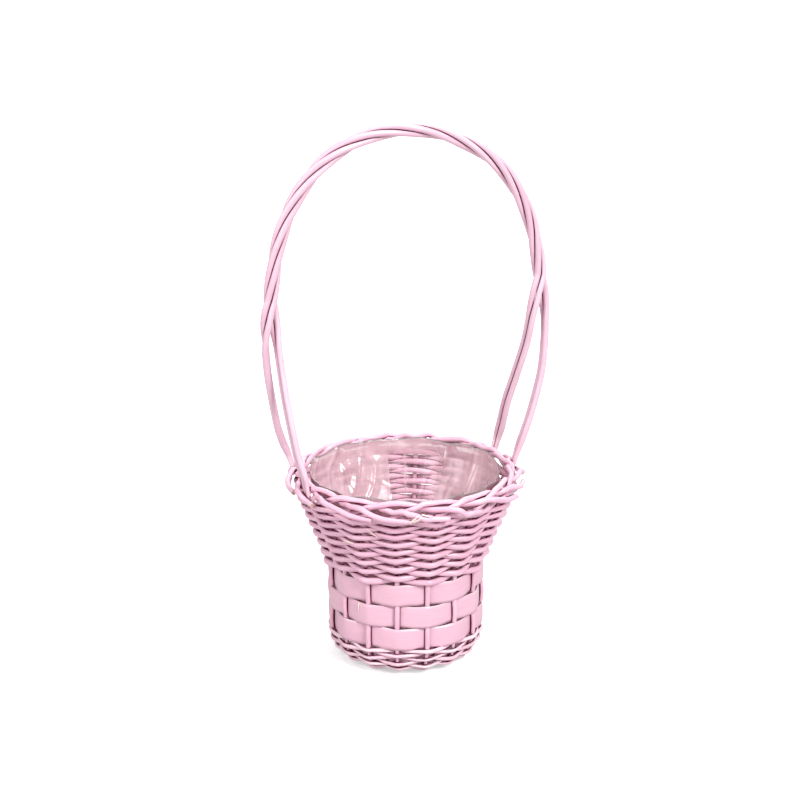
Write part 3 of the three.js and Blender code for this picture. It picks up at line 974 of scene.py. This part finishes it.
def film_material():
    """Thin film: see-through where it lies tight on the weave and hazy where it
    stands away from it, with glints on the creases and a darker cut edge. Haze and
    glints are on the inner face only, and darken where the weave is close behind."""
    n = Nodes("clear_film")
    haze = n.add("ShaderNodeAttribute", attribute_name="haze").outputs["Fac"]
    edge = n.add("ShaderNodeAttribute", attribute_name="edge").outputs["Fac"]
    back_face = n.add("ShaderNodeNewGeometry").outputs["Backfacing"]
    front_face = n.math("SUBTRACT", 1.0, back_face)
    place = n.add("ShaderNodeTexCoord").outputs["Object"]
    cloud = n.stretched_noise(place, (26, 26, 14), 3)
    near_weave = n.add("ShaderNodeAmbientOcclusion", samples=8)
    near_weave.inputs["Distance"].default_value = SHADE_REACH
    shaded = n.ramp(near_weave.outputs["AO"], [(0.45, WHITE), (0.80, BLACK)])

    clear = n.add("ShaderNodeBsdfTransparent")
    clear.inputs["Color"].default_value = (*FILM_TINT, 1)
    milk = n.add("ShaderNodeBsdfDiffuse")
    # Milk tone: real haze, tinted pink by painted bounce light from the weave
    tone = n.ramp(cloud, [(0.3, HAZE_THIN), (0.7, HAZE_THICK)])
    # Painted highlight: where the haze is highest, on the most crumpled film and along the pulled
    # creases, the milk turns nearly white, standing in for the light their facets catch
    crease_highlight = n.ramp(haze, [(0.80, BLACK), (1.0, WHITE)])
    tone = n.mix(crease_highlight, tone, HAZE_HIGHLIGHT)
    tone = n.mix(n.math("MULTIPLY", shaded, 0.92), tone, HAZE_IN_SHADE)
    n.link(n.mix(edge, tone, FILM_EDGE), milk.inputs["Color"])
    amount = n.math("MULTIPLY", haze, n.math("ADD", cloud, 0.45))
    amount = n.math("ADD", amount, n.math("MULTIPLY", edge, 0.5), clamp=True)
    amount = n.math("MULTIPLY", amount, n.math("SUBTRACT", 2.0, amount))
    body = n.mix_shaders(n.math("MULTIPLY", amount, front_face), clear, milk)

    glint = n.add("ShaderNodeBsdfGlossy")
    glint.inputs["Color"].default_value = (*WHITE, 1)
    glint.inputs["Roughness"].default_value = 0.21
    facing = n.add("ShaderNodeLayerWeight", Blend=0.5).outputs["Facing"]
    shine = n.math("ADD", n.math("MULTIPLY", n.math("POWER", facing, 4.0), 0.7), 0.08)
    shine = n.math("MULTIPLY", shine, n.math("SUBTRACT", 1.0, shaded, clamp=True))
    return n.surface(n.mix_shaders(n.math("MULTIPLY", shine, front_face), body, glint))


def ripple(around, up, turns, wavelengths, count):
    """Random waves that close round the basket, between about -1 and 1."""
    total = np.zeros(np.broadcast(around, up).shape)
    for _ in range(count):
        m = film_rng.integers(turns[0], turns[1] + 1)
        q = 2 * math.pi / film_rng.uniform(*wavelengths) * film_rng.choice([-1, 1])
        total += np.cos(m * around + q * up + film_rng.uniform(0, 2 * math.pi))
    return total / math.sqrt(count)


def film_profile():
    """Line from near the middle of the liner's floor up to its edge, evenly spaced."""
    co = node_points("film_liner")
    radius = np.hypot(co[:, 0], co[:, 1])
    heights = np.unique(np.round(co[:, 2], 5))
    same = 0.02 * MM
    reach = np.array([radius[np.abs(co[:, 2] - h) < same].max() for h in heights])
    reach = np.append(FILM_HUB_R, np.maximum.accumulate(reach))
    heights = np.append(heights[0], heights)
    return even_line(np.stack([reach, np.zeros(len(reach)), heights], 1), FILM_SPACING)


def pulled_crease(degrees, below, azimuth, slant, middle, half):
    """One sharp crease, between 0 and 1, that fades out at both its ends."""
    off = np.abs(degrees - azimuth - slant * (below - middle) / MM)
    ridge = np.clip(1 - off / CREASE_HALF_WIDTH, 0, 1)
    return ridge * np.clip(1 - np.abs(below - middle) / half, 0, 1) ** 0.5


def patch(degrees, below, azimuth, half_turn, middle, half):
    """One heavily crumpled patch, between 0 and 1, soft at its edges."""
    return np.exp(-((degrees - azimuth) / half_turn) ** 2 - ((below - middle) / half) ** 2)


def film_relief(around, up, tight, heavy, pulled):
    """How far the film stands off its smooth line, in millimetres."""
    folds = FOLD_HIGH * np.abs(ripple(around, up, (3, 8), (0.12, 0.3), 6))
    creases = 1 - 2.2 * np.abs(ripple(around, up, (4, 12), (0.06, 0.2), 5))
    creases = CREASE_HIGH * np.clip(creases, 0, 1)
    crumples = CRUMPLE_HIGH * np.abs(ripple(around, up, (12, 26), (0.03, 0.09), 6))
    wrinkles = np.clip(1 - 4 * np.abs(ripple(around, up, (8, 24), (0.03, 0.09), 5)), 0, 1)
    relief = 0.5 + (folds + creases) * (1 - 0.7 * tight) + crumples + PULLED_HIGH * pulled
    relief = relief + wrinkles * (0.12 + 0.9 * heavy) + 0.5 * heavy
    return relief * smoothstep(up, 0.0, 50 * MM)


def film_haze(around, up, relief, tight, heavy, pulled):
    """How milky the film is: clear where tight, milkier on relief and at the top."""
    uneven = 4 * MM * ripple(around, up, (4, 18), (0.04, 0.12), 6)
    top = up[-1, 0]
    top_band = smoothstep(up + uneven, top - TOP_BAND[0], top - TOP_BAND[1])
    # In the crumpled patches the haze rises in facets, and along the pulled creases; where it is
    # highest the film material turns it into a painted highlight
    facets = smoothstep(np.abs(ripple(around, up, (18, 44), (0.02, 0.05), 6)), 0.5, 1.3)
    haze = LOOSE_HAZE * (1 - tight * (1 - top_band)) + 0.16 * np.clip(relief / 4, 0, 1)
    haze = haze + np.clip(heavy, 0, 1) * (0.08 + 0.36 * facets) + 0.12 * top_band
    return np.clip(haze + 0.25 * np.clip(PULLED_HIGH * pulled, 0, 1), 0, 1)


def film_bag(line, around, up, relief):
    """The bag's surface: the smooth line moved in by the relief, closed at the
    bottom by a fan of faces, with a gently waved edge at the top."""
    slope = np.gradient(line, up[:, 0], axis=0)
    offset = relief * MM
    r = line[:, 0][:, None] - offset * slope[:, 2][:, None]
    z = line[:, 2][:, None] + offset * slope[:, 0][:, None]
    top = smoothstep(up, up[-1, 0] - 20 * MM, up[-1, 0])
    z = z + top * (0.9 * ripple(around, up * 0, (3, 14), (1, 2), 6) - 0.6) * MM
    co = polar(r, around, z).reshape(-1, 3)
    i = np.repeat(np.arange(len(line) - 1), FILM_AROUND)
    j = np.tile(np.arange(FILM_AROUND), len(line) - 1)
    j2 = (j + 1) % FILM_AROUND
    quads = np.stack([i, i, i + 1, i + 1], 1) * FILM_AROUND + np.stack([j, j2, j2, j], 1)
    faces = [tuple(q) for q in quads.tolist()]
    faces += [(len(co), int((k + 1) % FILM_AROUND), int(k)) for k in range(FILM_AROUND)]
    co = np.vstack([co, co[:FILM_AROUND].mean(0)])
    return add_object("creased_film_liner", co, faces)


def film_liner():
    """A loose bag of thin film, creased in sharp ridges, inside the woven wall."""
    line = film_profile()
    run = run_along(line)
    angle = 2 * math.pi * np.arange(FILM_AROUND) / FILM_AROUND
    around, up = np.meshgrid(angle, run)
    degrees = np.degrees(around)
    below = up - run[-1]
    tight = smoothstep(degrees, CLEAR_FROM - 12, CLEAR_FROM + 4) * (degrees < CLEAR_TO)
    heavy = sum(share * patch(degrees, below, *place) for share, *place in FILM_PATCHES)
    pulled = sum(pulled_crease(degrees, below, *crease) for crease in FILM_CREASES)
    relief = film_relief(around, up, tight, heavy, pulled)
    obj = film_bag(line, around, up, relief)
    haze = film_haze(around, up, relief, tight, heavy, pulled)
    edge = np.broadcast_to((run > run[-1] - 0.5 * FILM_SPACING)[:, None], haze.shape)
    for name, values in (("haze", haze), ("edge", edge.astype(float))):
        attribute = obj.data.attributes.new(name, "FLOAT", "POINT")
        values = np.append(values.ravel(), values[0, 0])
        attribute.data.foreach_set("value", values.astype(np.float32))
    obj.data.update()
    shell = obj.modifiers.new("thickness", "SOLIDIFY")
    shell.thickness = FILM_THICK
    shell.offset = 0
    obj.visible_shadow = False
    return dress(obj, [film_material()], "liner", "film", "film_liner")


film_liner()


# ---------------------------------------------------------------- stage, light, camera

FLOOR_HALF = 40.0
FLOOR_SEEN = (0.90, 0.90, 0.90)
FLOOR_BOUNCE = (0.50, 0.46, 0.48)


def floor_material():
    """Nearly white to the camera, greyer in the light it throws back up."""
    n = Nodes("floor_white")
    seen = n.add("ShaderNodeLightPath").outputs["Is Camera Ray"]
    shader = n.add("ShaderNodeBsdfPrincipled", Roughness=0.9)
    n.link(n.mix(seen, FLOOR_BOUNCE, FLOOR_SEEN), shader.inputs["Base Color"])
    shader.inputs["Emission Color"].default_value = (1, 1, 1, 1)
    n.link(n.math("MULTIPLY", seen, 0.45), shader.inputs["Emission Strength"])
    return n.surface(shader)


def stage_floor():
    corners = [(-1, -1, 0), (1, -1, 0), (1, 1, 0), (-1, 1, 0)]
    floor = add_object("floor", FLOOR_HALF * np.array(corners), [(0, 1, 2, 3)])
    floor.data.materials.append(floor_material())


def sun(name, towards, softness, strength):
    data = bpy.data.lights.new(name, "SUN")
    data.angle = math.radians(softness)
    data.energy = strength
    obj = bpy.data.objects.new(name, data)
    obj.rotation_euler = (-Vector(towards)).to_track_quat("-Z", "Y").to_euler()
    bpy.context.scene.collection.objects.link(obj)


# Camera: its turn about the basket and its tilt down, its place to the right,
# ahead and up from the basket's foot, and its lens
VIEW_TURN = math.radians(-16.2)
VIEW_PITCH = math.radians(17.13)
CAMERA_PLACE = (-4.8 * MM, -1400 * MM, 660 * MM)
FOCAL = 77.9


def from_view(right, ahead, up):
    """A place given from the camera's side: right, away from it, and up."""
    return Vector((
        right * math.cos(VIEW_TURN) - ahead * math.sin(VIEW_TURN),
        right * math.sin(VIEW_TURN) + ahead * math.cos(VIEW_TURN),
        up,
    ))


def add_camera():
    data = bpy.data.cameras.new("camera")
    data.lens = FOCAL
    data.sensor_width = 36.0
    obj = bpy.data.objects.new("camera", data)
    obj.location = from_view(*CAMERA_PLACE)
    forward = from_view(0, math.cos(VIEW_PITCH), -math.sin(VIEW_PITCH))
    obj.rotation_euler = forward.to_track_quat("-Z", "Y").to_euler()
    bpy.context.scene.collection.objects.link(obj)
    bpy.context.scene.camera = obj


def light_studio():
    """Four broad suns, their directions given from the camera's side, and a pale
    surround."""
    sun("key", from_view(0.75, -1.0, 0.95), 20, 2.5)
    sun("top", from_view(0.1, -0.1, 1.0), 40, 1.4)
    sun("fill", from_view(-0.9, -0.7, 0.6), 50, 1.2)
    sun("back", from_view(0.2, 1.0, 0.5), 50, 1.0)
    world = bpy.data.worlds.new("studio")
    world.use_nodes = True
    background = world.node_tree.nodes["Background"]
    background.inputs["Color"].default_value = (0.99, 0.98, 1.0, 1)
    background.inputs["Strength"].default_value = 0.40
    bpy.context.scene.world = world
    bpy.context.scene.view_settings.view_transform = "Standard"


stage_floor()
light_studio()
add_camera()
